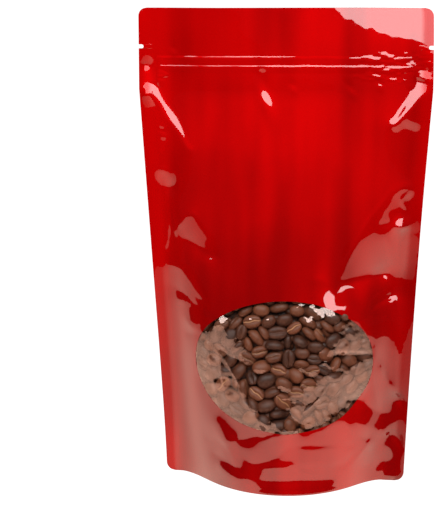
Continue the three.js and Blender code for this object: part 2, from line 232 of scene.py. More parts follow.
# Facets that the film buckles into: outline in mm along the film and up, and how much more it leans there,
# to the side and out towards the top, than the smooth belly does.
facets = dict(
    upperLeft=([(-80.1, 193.7), (-75.5, 192.7), (-71.4, 187.2), (-71, 183.2), (-75.5, 182.2)], 0, .19),
    leftWing=([(-60, 167.7), (-55.9, 167.7), (-49.5, 160.2), (-44.9, 153.7), (-40.4, 142.8), (-44, 142.3),
        (-52.7, 146.7), (-64.6, 152.7), (-66.9, 159.2), (-64.1, 165.7)], 0, .17),
    leftHold=([(-79.6, 171.2), (-68.2, 172.2), (-68.2, 150.7), (-52.7, 144.8), (-47.2, 139.3),
        (-63.7, 136.3), (-79.2, 136.8)], 0, -.06),
    leftShoulder=([(-77.8, 134.3), (-67.8, 133.3), (-58.6, 125.8), (-51.3, 115.8), (-58.6, 113.3),
        (-75.5, 121.3)], 0, .07),
    leftEdge=([(-54.5, 111.8), (-50.9, 108.3), (-50.4, 87.8), (-50, 66.3), (-53.2, 59.3), (-57.7, 67.8),
        (-57.7, 89.8)], 0, .06),
    rightWing=([(65, 161.7), (65.9, 152.7), (69.1, 144.3), (72.8, 135.8), (61.4, 133.3), (48.1, 130.3),
        (37.2, 127.3), (32.2, 128.8), (36.7, 136.8), (42.7, 146.2), (50, 154.2), (58.2, 161.2)], 0, .24),
    rightBand=([(71.9, 160.7), (80.1, 160.7), (81, 138.3), (81, 114.3), (83.9, 89.3), (86.3, 50.8),
        (81, 50.8), (78.3, 88.8), (76.4, 114.3), (74.2, 138.3)], 0, .24),
    rightKnurl=([(81, 156.7), (85.2, 157.2), (86.5, 114.8), (88.1, 63.8), (86.9, 51.3), (86.2, 63.8),
        (82.8, 114.3), (82.9, 138.3)], 0, -.06),
    darkTriangle=([(53.2, 109.3), (62.7, 113.3), (74.6, 115.8), (79.6, 88.8), (83, 55.8), (75.5, 61.3),
        (65.5, 74.3), (59.6, 88.3)], 0, -.3),
    darkUpper=([(32.6, 124.8), (41.8, 126.3), (55.4, 128.8), (51.8, 109.3), (41.8, 116.3),
        (32.6, 119.8)], 0, -.5),
    darkUpperRight=([(55.4, 128.8), (68.7, 130.3), (75.5, 114.3), (62.7, 112.3), (51.8, 108.3)], 0, -.4),
    windowRight=([(28.5, 88.3), (42.2, 87.3), (57.3, 85.3), (59.6, 78.8), (59.1, 63.3), (53.6, 54.8),
        (39.5, 55.8), (25.3, 71.3)], 0, .23),
    windowLow=([(28.1, 73.8), (38.6, 54.8), (33.5, 48.9), (22.6, 41.9), (8.4, 40.4), (6.2, 46.9),
        (11.6, 57.3), (20.3, 66.8)], 0, .17),
    darkLowRight=([(44, 51.8), (52.3, 51.8), (63.7, 47.4), (75.1, 42.4), (78.3, 36.9), (74.2, 30.9),
        (63.7, 33.9), (51.3, 39.4), (44.9, 45.9)], 0, -.24),
    darkSmall=([(50.9, 31.4), (66.9, 28.9), (61.8, 23.4), (56.4, 26.9)], 0, -.2),
    rightMiddle=([(59.6, 87.8), (70.5, 75.8), (80.5, 55.8), (79.6, 49.3), (67.3, 49.3), (60.5, 61.3),
        (60, 75.8)], 0, .12),
    darkCorner=([(76.4, 28.4), (80.1, 29.4), (84, 25.9), (87.9, 19.9), (88.1, 11.9), (86.5, 4.4),
        (76.9, .4), (66.7, .4), (68.7, 8.4), (75.5, 16.4), (74.6, 23.4)], 0, -.22),
    leftBlob=([(-65.5, 102.3), (-62.3, 109.3), (-57.7, 112.3), (-53.6, 110.3), (-55, 105.3), (-57.7, 99.3),
        (-61.4, 97.3), (-64.1, 99.8)], 0, -.1),
    leftAround=([(-73.7, 112.3), (-63.7, 113.8), (-52.3, 113.8), (-50.9, 103.3), (-54.5, 95.3),
        (-67.8, 92.8), (-71, 101.3)], 0, .02),
    leftStreak=([(-49.1, 110.8), (-45.9, 108.8), (-43.6, 88.8), (-42.2, 70.8), (-46.8, 66.8), (-49.1, 69.3),
        (-50.4, 87.8)], 0, -.04),
    footStreak=([(-49.1, 18.9), (-42.7, 18.4), (-35.4, 15.9), (-27.2, 12.4), (-26.7, 9.4), (-30.3, 7.4),
        (-37.2, 9.4), (-45.4, 12.4)], 0, -.34),
    windowVeil=([(-41.8, 105.8), (-37.2, 98.8), (-32.2, 87.3), (-28.5, 69.3), (-23, 55.3), (-16.7, 45.9),
        (-9.4, 41.9), (-10.7, 36.9), (-28.5, 32.4), (-36.7, 50.8), (-40.8, 73.8), (-42.2, 92.3)], 0, .2),
    underTongue=([(-10.7, 41.9), (2.5, 41.4), (19.9, 38.9), (18.9, 12.4), (-15.3, 12.9),
        (-14.4, 36.4)], 0, .06),
    cornerLeft=([(-87.2, 258.1), (-82.8, 256.6), (-81, 248.1), (-81, 243.6), (-83.9, 238.7),
        (-88.2, 239.7)], 0, -.36),
    cornerRight=([(81, 255.6), (87, 254.6), (87.7, 248.6), (81, 249.6)], 0, -.3),
    ridgeLeft=([(-82.3, 246.1), (-77.3, 243.6), (-72.8, 235.7), (-66.9, 226.7), (-62.3, 217.7),
        (-57.3, 206.2), (-59.1, 206.7), (-65.5, 217.2), (-71.9, 225.2), (-76.9, 233.2),
        (-81, 238.7)], -.28, -.3),
    ridgeRight=([(77.3, 248.6), (84.7, 247.6), (83.5, 242.7), (78.3, 235.2), (72.8, 228.2), (66.9, 221.7),
        (65, 223.2), (69.1, 231.7), (73.7, 240.2)], .17, -.34),
    smallRight=([(73.2, 222.7), (77.8, 225.2), (81, 224.7), (79.6, 220.2), (74.6, 219.2)], 0, .16),
    smallLeft=([(-77.3, 217.2), (-76, 217.2), (-74.6, 214.2), (-75.5, 214.2)], 0, -.25),
    holdLow=([(-3.4, 40.4), (8.4, 40.4), (22.6, 40.4), (38.1, 45.9), (43.1, 37.4), (45.9, 26.9),
        (28.1, 28.9), (-.7, 30.4)], 0, .12),
    holdLeft=([(-28.5, 33.9), (-20.8, 33.4), (-12.1, 34.9), (1.1, 37.4), (1.1, 31.4), (-10.3, 19.9),
        (-22.6, 17.4), (-26.7, 23.4)], 0, .12),
    rightUp=([(69.1, 180.7), (75.1, 185.2), (78.3, 182.7), (76, 176.7), (72.3, 169.2), (67.8, 162.2),
        (58.6, 161.2), (62.7, 170.7)], 0, .1),
    hemHold=([(-15.3, 16.9), (7.5, 18.9), (29.9, 16.9), (29.9, 7.9), (7.1, 8.9), (-15.7, 8.4)], 0, .07),
    leftHoldLow=([(-57.7, 96.3), (-51.3, 95.8), (-51.8, 65.8), (-49.5, 47.4), (-42.7, 29.9), (-54.5, 26.9),
        (-62.3, 50.8), (-61.8, 76.3)], 0, .06),
    windowTop=([(30.8, 114.3), (40.4, 112.8), (49.1, 106.3), (55, 93.3), (57.3, 84.3), (42.7, 84.8),
        (29.9, 86.8)], 0, .24),
    holdMid=([(-5.7, 31.9), (8, 29.4), (39, 27.4), (45.4, 20.9), (39.5, 15.4), (7.5, 17.9),
        (-6.2, 20.4)], 0, .1),
    leftStreakLow=([(-47.7, 66.8), (-42.2, 69.8), (-40.8, 52.8), (-36.3, 41.4), (-33.1, 34.4), (-34, 29.4),
        (-38.1, 30.9), (-45.4, 41.9)], 0, -.16),
    veilTop=([(-42.2, 105.8), (-37.6, 103.8), (-32.2, 91.8), (-29.4, 82.3), (-35.8, 84.3),
        (-41.3, 91.3)], 0, .2),
    holdCorner=([(67.3, 30.9), (75.5, 30.9), (76, 19.4), (67.8, 12.4), (55, 9.4), (46.3, 13.9),
        (59.1, 20.9)], 0, .1),
    spikeHold=([(17.1, 129.8), (23, 129.8), (30.3, 125.3), (30.3, 117.8), (28.1, 113.3), (20.3, 113.3),
        (15.7, 118.3)], 0, -.09),
)

# Narrow folds: points in mm along the film and up, rise, and breadth to the left and the right, in mm.
folds = dict(
    leftPleat=([(-79.2, 186.7), (-76.4, 169.7), (-79.6, 138.3)], .6, 1, 1.4),
    leftPleatTwo=([(-72.3, 183.7), (-72.3, 165.7), (-70, 147.2)], .45, .8, 1.2),
    rightDiagonal=([(71.9, 189.2), (58.6, 172.2), (50.4, 162.2), (38.6, 140.3), (32.6, 124.8)], .5, 3, 1),
    rightCrumple=([(75.5, 190.2), (80.1, 182.7), (76, 176.7), (81, 168.2)], .7, .9, 1.2),
    rightPleat=([(77.8, 168.2), (75.5, 155.2), (75.5, 138.3)], .5, .9, .9),
    spikeLine=([(30.8, 125.3), (29.9, 108.8), (29, 91.3)], .25, 1, 1.2),
    zigHem=([(-4.3, 17.4), (.2, 19.9), (10.7, 13.4), (20.8, 10.4)], .2, .9, .9),
    lowDiagonal=([(76.4, 39.9), (62.3, 27.9), (44, 14.4)], .4, 1.4, 1),
    lowLeft=([(-45.4, 35.4), (-34, 22.4), (-30.8, 6.9)], .35, 1.2, 1.2),
)


# Small tucks hang under the zip: place along the film and up, half length, half breadth and rise, in mm,
# and how many mm to the side one goes as it comes down.
tucks = [(-12.5, 241, 12, 3.2, 2.5, 2.5), (5, 244, 3.2, 2, .7, 1), (39.5, 243, 4, 2, .9, 2),
         (57, 246, 2.8, 1.8, .65, 1), (-67.6, 266, 3.2, 1.6, .7, 1), (-75.8, 216, 2.2, 1.4, .45, 1.5)]


def tuckHeight(s, z):
    height = 0
    for place, up, length, breadth, rise, slant in tucks:
        down = (up * mm - z) / (length * mm)
        aside = (s - place * mm - slant * mm * down) / (breadth * mm)
        height = height + rise * mm * down * np.exp(-down ** 2 - aside ** 2)
    return height


def softMin(a, b, soft):
    h = np.clip(.5 + .5 * (b - a) / soft, 0, 1)
    return b + (a - b) * h - soft * h * (1 - h)


def sealAt(z):
    low = 1 - ramp(z, 0, .06)
    return pouch["sideSeal"] + (pouch["footSeal"] - pouch["sideSeal"]) * low


def sideLine(z):
    foot = pouch["footWidth"] / 2
    return foot + (halfFlat - foot) * np.clip(z / pouch["bellyTop"], 0, 1) ** pouch["sidePower"]


def sections(z, steps=240):
    # x and depth of points along the film between its seals, one row for each height
    low = 1 - ramp(z, 0, .06)
    seal = sealAt(z)
    edge = pouch["edge"] + (pouch["footEdge"] - pouch["edge"]) * low
    skew = pouch["skew"] * (1 - ramp(z, 0, .14))
    box = 1 + pouch["boxiness"] * ramp(z, .03, .15)
    chord = 2 * (sideLine(z) - seal)
    step = 2 * (halfFlat + pouch["footSlack"] * low - seal) / steps
    a = (2 * np.arange(steps) + 1) / steps - 1
    form = np.sign(a) * np.abs(a)[None] ** box[:, None] + skew[:, None] * (1 - a * a)[None]
    form = form * (1 - np.abs(a)[None] ** edge[:, None])
    least, most = np.zeros(len(z)), np.full(len(z), 2.4)
    for _ in range(40):
        middle = (least + most) / 2
        wide = (step[:, None] * np.cos(middle[:, None] * form)).sum(1) > chord
        least, most = np.where(wide, middle, least), np.where(wide, most, middle)
    slope = -least[:, None] * form
    zero = np.zeros((len(z), 1))
    x = np.concatenate([zero, np.cumsum(step[:, None] * np.cos(slope), 1)], 1) - chord[:, None] / 2
    depth = np.concatenate([zero, np.cumsum(step[:, None] * np.sin(slope), 1)], 1)
    return x, depth - depth[:, -1:] * np.linspace(0, 1, steps + 1)[None]


def makeTables():
    rows = np.linspace(0, pouch["height"], pouch["tableRows"])
    x, depth = sections(rows)
    belly = np.maximum(depth - pouch["hemTuck"] * np.exp(-rows / pouch["hemReach"])[:, None], 0)
    peak = np.maximum(belly.max(1), 1e-6)
    below = np.maximum(pouch["bellyTop"] - rows, 0)
    room = pouch["wedge"] * below ** 2 / (below + pouch["onset"])
    limit = np.maximum(softMin(peak, room, pouch["wedgeSoft"] * ramp(below, 0, .05) + 1e-6), 0)
    return x, belly * (limit / peak)[:, None]


def insideOutline(s, z, outline):
    inside = np.zeros(s.shape, bool)
    for (s0, z0), (s1, z1) in zip(outline, outline[1:] + outline[:1]):
        if z0 != z1:
            inside ^= ((z0 > z) != (z1 > z)) & (s < (s1 - s0) * (z - z0) / (z1 - z0) + s0)
    return inside


def buckle(facets, s, z, rounds=9):
    # the height whose slopes come nearest to each facet's lean, flat at the edges of the film; each
    # facet is pushed further until its mean slope is the one wanted
    step = pouch["reliefStep"]
    high, wide = s.shape
    shifts = step * (np.arange(3) - 1) / 3
    masks = []
    for outline, _, _ in facets.values():
        points = [(a * mm, b * mm) for a, b in outline]
        inside = [insideOutline(s + a, z + b, points).astype(float) for a in shifts for b in shifts]
        masks.append(sum(inside) / 9)
    waves = [np.sin(np.pi * np.outer(np.arange(n) + .5, np.arange(1, n + 1)) / n) for n in (high, wide)]
    inverse = [np.linalg.inv(wave) for wave in waves]
    across = np.pi * np.arange(1, wide + 1) / pouch["flatWidth"]
    up = np.pi * np.arange(1, high + 1) / pouch["height"]
    curving = -(up[:, None] ** 2 + across[None] ** 2)
    damping = np.exp(.5 * curving * pouch["creaseSoft"] ** 2)
    push = [np.array([a, b], float) for _, a, b in facets.values()]
    for _ in range(rounds):
        slopes = [sum(mask * p[k] for mask, p in zip(masks, push)) for k in (0, 1)]
        source = np.gradient(slopes[0], step, axis=1) + np.gradient(slopes[1], step, axis=0)
        height = waves[0] @ ((inverse[0] @ source @ inverse[1].T) / curving * damping) @ waves[1].T
        reached = np.gradient(height, step, axis=1), np.gradient(height, step, axis=0)
        for mask, p, (_, *wanted) in zip(masks, push, facets.values()):
            for k in (0, 1):
                p[k] += wanted[k] - (reached[k] * mask).sum() / mask.sum()
    return height


def smoothLine(points, steps=6):
    # a smooth curve through the points
    p = [2 * points[0] - points[1], *points, 2 * points[-1] - points[-2]]
    line = []
    for a, b, c, d in zip(p, p[1:], p[2:], p[3:]):
        for t in np.arange(steps) / steps:
            line.append(.5 * (2 * b + (c - a) * t + (2 * a - 5 * b + 4 * c - d) * t * t
                              + (3 * b - a - 3 * c + d) * t ** 3))
    return line + [points[-1]]


def foldHeight(s, z, points, rise, left, right, sharp=.0006):
    # a ridge along a line, fading at both ends; left and right are as seen going along it
    line = smoothLine([np.array(p) * mm for p in points])
    lengths = [np.hypot(*(b - a)) for a, b in zip(line, line[1:])]
    best, along, breadth = np.full(s.shape, 9.), 0 * s, 0 * s
    walked = 0
    for a, b, length in zip(line, line[1:], lengths):
        t = np.clip(((s - a[0]) * (b - a)[0] + (z - a[1]) * (b - a)[1]) / length ** 2, 0, 1)
        off, above = s - a[0] - t * (b - a)[0], z - a[1] - t * (b - a)[1]
        distance = np.hypot(off, above)
        near = distance < best
        best = np.where(near, distance, best)
        along = np.where(near, (walked + t * length) / sum(lengths), along)
        onLeft = (b - a)[0] * above > (b - a)[1] * off
        breadth = np.where(near, np.where(onLeft, left, right) * mm, breadth)
        walked += length
    shape = np.exp(-(np.sqrt(best ** 2 + sharp ** 2) - sharp) / breadth)
    return rise * mm * shape * ramp(along, 0, .3) * ramp(1 - along, 0, .3)


def between(table, i, j, up, aside):
    # between four neighbours of a table
    low, high = [table[k, j] * (1 - aside) + table[k, j + 1] * aside for k in (i, i + 1)]
    return low * (1 - up) + high * up


def uneven(s, z, sizeS, sizeZ, seed):
    # smooth chance heights between -1 and 1, cells of the given sizes
    table = np.random.default_rng(seed).uniform(-1, 1, (int(.3 / sizeZ) + 3, int(.2 / sizeS) + 3))
    a, b = (s + .1) / sizeS, z / sizeZ + .5
    i, j = b.astype(int), a.astype(int)
    return between(table, i, j, ramp(b - i, 0, 1), ramp(a - j, 0, 1))


def zipRelief(s, z):
    # each line of the zip rises gently and drops back sharply; the right end is crumpled
    height = 0
    ends = ramp(zipper["end"] - np.abs(s), 0, .004)
    for k, (line, rise) in enumerate(zip(zipper["lines"], zipper["rises"])):
        at = line + .0003 * uneven(s, 0 * z, .007, .01, 3 + k)
        lift = ramp(z, line - zipper["lower"], at) * (1 - ramp(z, at, at + zipper["upper"]))
        share = (1 - .6 * ramp(s, -.02, .02), .92 + .3 * uneven(s, 0 * z, .012, .01, 7))[k]
        height = height + rise * lift * share
    low, high = zipper["low"], zipper["high"]
    band = ramp(z, low, low + .004) * (1 - ramp(z, high - .002, high))
    lumps = uneven(s, z, .0042, .0017, 21) + .6 * uneven(s, z, .0021, .0012, 22)
    return height * ends + zipper["crumple"] * lumps * band * ramp(s, zipper["crumpleFrom"], .062)


def makeRelief():
    step = pouch["reliefStep"]
    wide, high = round(pouch["flatWidth"] / step), round(pouch["height"] / step)
    s, z = np.meshgrid(pouch["flatWidth"] * ((np.arange(wide) + .5) / wide - .5),
                       pouch["height"] * (np.arange(high) + .5) / high)
    height = buckle(facets, s, z)
    for fold in folds.values():
        height = height + foldHeight(s, z, *fold)
    height = height + tuckHeight(s, z)
    seam = np.exp(-((np.abs(s) - halfArc + .0008) / pouch["seamBreadth"]) ** 2)
    height = height - pouch["seamDepth"] * seam * ramp(z, .004, .01) * (1 - ramp(z, .25, .256))
    for rise, *chance in pouch["waver"]:
        height = height + rise * uneven(s, z, *chance)
    edge = ramp(halfFlat - np.abs(s), 0, .004) * ramp(z, 0, .003) * ramp(pouch["height"] - z, 0, .003)
    return (height + zipRelief(s, z)) * edge


tableX, tableBelly = makeTables()
frontRelief = makeRelief()
print("film worked out")


def lookUp(table, row, column):
    # the value in a table at a row and column from 0 to 1
    high, wide = table.shape
    r, c = np.clip(row, 0, 1) * (high - 1), np.clip(column, 0, 1) * (wide - 1)
    i, j = np.minimum(r.astype(int), high - 2), np.minimum(c.astype(int), wide - 2)
    return between(table, i, j, r - i, c - j)


def bend(x, y, z):
    # both films lean back together, the mouth's right corner is bent back and the foot is turned
    turn = -np.radians(pouch["twist"]) * (1 - ramp(z, 0, .15))
    aside = np.clip((x - corner["side"]) / (halfFlat - corner["side"]), 0, 1) ** corner["sidePower"]
    up = np.clip((z - corner["start"]) / (pouch["height"] - corner["start"]), 0, 1) ** corner["upPower"]
    forward = pouch["cornerForward"] * ramp(x, .025, .075) * (1 - ramp(z, 0, .06))
    x = x + pouch["footShift"] * (1 - ramp(z, 0, .2))
    y = y - forward
    cos, sin = np.cos(turn), np.sin(turn)
    lean = pouch["lean"] + pouch["leanLeft"] * ramp(-x, .04, .085) - pouch["leanRight"] * ramp(x, .04, .085)
    back = lean * ramp(z, 0, .19) + corner["back"] * aside * up
    return np.stack([x * cos - y * sin, x * sin + y * cos + back, z + 0 * x], -1)


def reliefAt(s, z):
    return lookUp(frontRelief, z / pouch["height"], s / pouch["flatWidth"] + .5)


def film(across, z, side, inward=0):
    # points of the front (side -1) or back (side 1) film; across runs from -1 to 1 between the seals
    row = z / pouch["height"]
    x = lookUp(tableX, row, (across + 1) / 2)
    belly = lookUp(tableBelly, row, (across + 1) / 2)
    inside = ramp(1 - np.abs(across), 0, .06)
    near = reliefAt(across * halfArc, z)
    own = near if side < 0 else pouch["backShare"] * reliefAt(-across * halfArc, z)
    skin = pouch["sealHalf"] + (pouch["mouthHalf"] - pouch["sealHalf"]) * inside
    out = skin + belly + own * inside
    return bend(x, side * (out - inward) - near * (1 - inside), z)


def rounding(radius, past):
    return radius - np.sqrt(np.maximum(radius ** 2 - np.maximum(past, 0) ** 2, 0))


def outerEdge(z):
    radius = pouch["notchRadius"]
    off = np.abs(z - pouch["notchHeight"])
    arc = np.sqrt(np.maximum(radius ** 2 - off ** 2, 0))
    notch = np.where(off <= radius, pouch["notchDepth"] - radius + arc, 0)
    top = rounding(pouch["topRadius"], z - pouch["height"] + pouch["topRadius"])
    foot = rounding(pouch["footRadius"], pouch["footRadius"] - z)
    return sideLine(z) - top - foot - notch


def sealStrip(share, z, end, side):
    # share runs from 0 at the seal's inner line to 1 at the pouch's edge
    inner = sideLine(z) - sealAt(z)
    x = end * (inner + (outerEdge(z) - inner) * share)
    return bend(x, side * pouch["sealHalf"] - reliefAt(end * (halfArc + pouch["sideSeal"] * share), z), z)


def rowHeights():
    radius, notch = pouch["notchRadius"], pouch["notchHeight"]
    edges = [0, .006, .2455, .2645, notch - radius - .0006, notch + radius + .0006,
             pouch["height"] - .0045, pouch["height"]]
    steps = [.0006, pouch["rowStep"], .0003, .0012, .0003, pouch["rowStep"], .0005]
    rows = [np.linspace(a, b, max(round((b - a) / step), 1), endpoint=False)
            for a, b, step in zip(edges, edges[1:], steps)]
    rows = np.concatenate(rows + [[pouch["height"]]])
    slot = notch + radius * np.array([-1.004, -.998, -.9, -.7, -.4, 0, .4, .7, .9, .998, 1.004])
    rows = rows[np.abs(rows - notch) > radius * 1.05]
    return np.sort(np.concatenate([rows, slot]))


def makeFilm():
    rows = rowHeights()
    inner, strip = pouch["columns"], pouch["sealColumns"]
    across = np.linspace(-1, 1, inner + 1)
    share = np.arange(1, strip + 1) / strip
    count = inner + 1 + 2 * strip  # points of one side's row

    def side(sign):
        z = rows[:, None]
        left, right = sealStrip(share[::-1][None], z, -1, sign), sealStrip(share[None], z, 1, sign)
        return np.concatenate([left, film(across[None], z, sign), right], 1)

    front, back = side(-1), side(1)[:, ::-1]
    rings = np.concatenate([front, back], 1)
    vertices = [rings.reshape(-1, 3)]
    around = 2 * count
    index = np.arange(len(rows) * around).reshape(len(rows), around)
    total = index.size

    # the block of cells round the window is left out of the front
    halfWide, halfHigh = window["block"]
    c0, c1 = [strip + int(round((k * halfWide / halfArc + 1) / 2 * inner)) for k in (-1, 1)]
    r0, r1 = np.searchsorted(rows, [window["centre"] - halfHigh, window["centre"] + halfHigh])
    keep = np.ones((len(rows) - 1, around), bool)
    keep[r0:r1, c0:c1] = False
    nextColumn = np.roll(index, -1, 1)
    cells = np.stack([index[:-1], nextColumn[:-1], nextColumn[1:], index[1:]], -1)[keep]
    faces = [cells]

    def addRing(points, last=None, flip=False):
        # a ring of new points, joined to the ring before it
        nonlocal total
        new = np.arange(total, total + len(points))
        total += len(points)
        vertices.append(points.reshape(-1, 3))
        if last is not None:
            a, b = (new, last) if flip else (last, new)
            faces.append(np.stack([a, np.roll(a, -1), np.roll(b, -1), b], -1))
        return new

    # window: from the block's edge to the oval, round its rim, under the film, and the pocket's floor
    columns = np.arange(c0, c1 + 1)
    lines = np.arange(r0, r1 + 1)
    block = np.concatenate([[(r0, c) for c in columns[:-1]], [(r, c1) for r in lines[:-1]],
                            [(r1, c) for c in columns[:0:-1]], [(r, c0) for r in lines[:0:-1]]])
    blockS = across[np.clip(block[:, 1] - strip, 0, inner)] * halfArc
    blockT = rows[block[:, 0]] - window["centre"]
    angle = np.arctan2(blockT / halfHigh, blockS / halfWide)
    ovalS, ovalT = window["width"] / 2 * np.cos(angle), window["height"] / 2 * np.sin(angle)
    last = index[block[:, 0], block[:, 1]]
    for k in range(1, window["patchRings"] + 1):
        t = k / window["patchRings"]
        ringS, ringT = blockS + (ovalS - blockS) * t, blockT + (ovalT - blockT) * t
        last = addRing(film(ringS / halfArc, ringT + window["centre"], -1), last)

    rim, lip, pocket = window["rim"], window["lip"], window["pocket"]
    profile = [(0, rim, 1), (lip, rim + window["undercut"], 1), (lip, pocket, 1)]
    profile += [(lip, pocket, k / window["floorRings"]) for k in range(window["floorRings"] - 1, 0, -1)]
    for grow, inward, part in profile:
        scaleS, scaleT = [part * (1 + grow / window[size] * 2) for size in ("width", "height")]
        ring = film(ovalS * scaleS / halfArc, ovalT * scaleT + window["centre"], -1, inward)
        last = addRing(ring, last)
    middle = addRing(film(np.array([0.]), np.array([window["centre"]]), -1, pocket))[0]
    fans = [(a, b, middle) for a, b in zip(last, np.roll(last, -1))]

    # mouth: a slit between the two films, closed at the seals
    top = rings[-1]
    loose = np.concatenate([np.zeros(strip), ramp(1 - np.abs(across), 0, .02), np.zeros(strip)])
    loose = np.concatenate([loose, loose])
    centre = (top + top[::-1]) / 2
    last = addRing(centre + (top - centre) * pouch["lipShare"], index[-1])
    deep = centre + (top - centre) * pouch["slitShare"]
    deep[:, 2] -= .0001 + pouch["slit"] * loose
    new = addRing(deep, last)
    opposite = new[::-1]
    faces.append(np.stack([new[:count - 1], new[1:count], opposite[1:count], opposite[:count - 1]], -1))

    # underside: the hem's edge, the channel inside it and the gusset with its fold
    foot = rings[0]
    turn = -math.radians(pouch["twist"])
    last = index[0]
    for size, rise in gusset["profile"]:
        points = foot * [size, size, 0]
        off = -points[:, 0] * math.sin(turn) + points[:, 1] * math.cos(turn)
        fold = gusset["fold"] * np.exp(-(off / gusset["foldHalf"]) ** 2)
        points[:, 2] = rise + fold * ramp(1 - size, .1, .2)
        last = addRing(points, last, flip=True)
    middle = addRing(np.array([[0, 0, gusset["middle"]]]))[0]
    fans += [(b, a, middle) for a, b in zip(last, np.roll(last, -1))]

    allFaces = [face for part in faces for face in part.tolist()] + np.array(fans).tolist()
    seal = np.zeros(total)
    strips = np.concatenate([ramp(share[::-1], 0, .4), 0 * across, ramp(share, 0, .4)])
    strips = np.concatenate([strips, strips[::-1]])
    seal[:index.size] = np.tile(strips, len(rows))
    return np.concatenate(vertices), allFaces, seal


redLook = dict(dark=(.135, .0001, .0003, 1), light=(.34, .0003, .0005, 1), tones=(.24, .70),
               fluteShadeStretch=(34., 20., 4.5), knurlPitch=.0011, knurl=.35, grain=900)


def makeRedFilm():
    # soft streaks run up the film, painted light and shade of gentle flutes over finer random tone; painted
    # shade darkens its lower part; the knurled seals shine less
    material, n = newFinish("redFilm")
    place = n.add("TexCoord", {}, {}, 3)
    stretched = n.add("VectorMath", {"operation": "MULTIPLY"}, {0: place, 1: redLook["fluteShadeStretch"]})
    # painted light and shade: the stretched noise stands in for gentle flutes catching the light, the finer
    # noise is random tone
    tone = n.noise(stretched, 1., 2) * .75 + n.noise(place, 14, 2) * .25
    height = n.add("SeparateXYZ", {}, {"Vector": place}, 2)
    # painted shade: the film is made darker towards the bottom, where less light falls from above
    tone = tone + height.ramp(.09, .26) * .20 - .13
    colour = n.mix(tone.ramp(*redLook["tones"]), redLook["dark"], redLook["light"])
    seal = n.add("Attribute", {"attribute_name": "seal"}, {}, 2)
    wave = n.add("Math", {"operation": "SINE"}, {0: height * (2 * math.pi / redLook["knurlPitch"])})
    grain = n.noise(place, redLook["grain"], 2) * .5 + wave * seal * redLook["knurl"]
    bump = n.add("Bump", {}, {"Strength": .08, "Distance": .0002, "Height": grain})
    shader = n.add("BsdfPrincipled", {}, {
        "Base Color": colour, "Metallic": .18, "Roughness": .4, "Coat Weight": 1 - seal * .6,
        "Coat Roughness": .02, "Coat IOR": 1.5, "Specular IOR Level": 0., "Normal": bump})
    n.add("OutputMaterial", {}, {"Surface": shader})
    return material


redFilm = makeRedFilm()
filmVertices, filmFaces, filmSeal = makeFilm()
pouchPiece = newPiece("pouch_film", filmVertices, filmFaces, redFilm)
addLayer(pouchPiece, "seal", filmSeal)
shadeSmooth(pouchPiece, pouch["sharpAngle"])
finishPiece(pouchPiece, "pouch")
print("pouch film", len(filmFaces))


# Coffee beans lie behind the window in two layers, most of them level, the front ones against the film.
# Each layer is a count and how much deeper it lies; a roll of 0 turns the groove to the front.
bean = dict(length=.0108, width=.0083, thickness=.0056, seed=11, layers=((138, 0), (120, .0042)),
            reach=1.07, taller=1.03, anyWay=.22, sway=.42, sizeSpread=.10, sizes=(.82, 1.28),
            rolls=(0, math.pi, math.pi / 2), rollShares=(.30, .42, .28), rollSpread=.3, tilt=.2,
            crowd=1.05, rounds=260, give=.22, slide=1.5, spin=.25, sunk=.0018, touch=.0009,
            grooveDepth=.0011, grooveWidth=.0006, wrinkle=.00022, around=24, along=16, gap=.0004)
core = dict(front=.0098, back=.0142, bump=.0016, cell=.0085, knobs=220, cells=56, reach=1.06)


def packBeans(count, random):
    # ovals pushed apart until they lie side by side inside the window's oval
    rx, rz = window["width"] / 2 * bean["reach"], window["height"] / 2 * bean["reach"] * bean["taller"]
    spread = np.sqrt(random.random(count))
    angle = random.random(count) * 2 * math.pi
    place = np.stack([rx * spread * np.cos(angle), rz * spread * np.sin(angle)], -1)
    turn = np.where(random.random(count) < bean["anyWay"], random.random(count) * math.pi,
                    random.normal(0, bean["sway"], count))
    size = np.clip(random.normal(1, bean["sizeSpread"], count), *bean["sizes"])
    roll = random.choice(bean["rolls"], count, p=bean["rollShares"])
    roll = roll + random.normal(0, bean["rollSpread"], count)
    halfLength = bean["length"] / 2 * size
    halfWidth = size * np.hypot(bean["width"] / 2 * np.cos(roll), bean["thickness"] / 2 * np.sin(roll))
    offsets = np.array([-1, 0, 1])
    for _ in range(bean["rounds"]):
        way = np.stack([np.cos(turn), np.sin(turn)], -1)
        reach = halfLength - halfWidth
        balls = place[:, None] + offsets[None, :, None] * (reach[:, None, None] * way[:, None])
        radius = np.repeat(halfWidth, 3)
        flat = balls.reshape(-1, 2)
        owner = np.repeat(np.arange(count), 3)
        gap = flat[:, None] - flat[None]
        distance = np.maximum(np.hypot(gap[..., 0], gap[..., 1]), 1e-9)
        apart = bean["crowd"] * (radius[:, None] + radius[None])
        overlap = np.maximum(apart - distance, 0) * (owner[:, None] != owner[None])
        push = (gap / distance[..., None] * overlap[..., None]).sum(1) * bean["give"]
        lever = flat - place[owner]
        twist = lever[:, 0] * push[:, 1] - lever[:, 1] * push[:, 0]
        place = place + push.reshape(count, 3, 2).sum(1) / bean["slide"]
        turn = turn + twist.reshape(count, 3).sum(1) / (bean["length"] ** 2 / 8) * bean["spin"]
        out = np.hypot(place[:, 0] / rx, place[:, 1] / rz)
        place = place / np.maximum(out, 1)[:, None]
    return place, turn, roll, size


def unit(vectors):
    return vectors / np.linalg.norm(vectors, axis=1)[:, None]


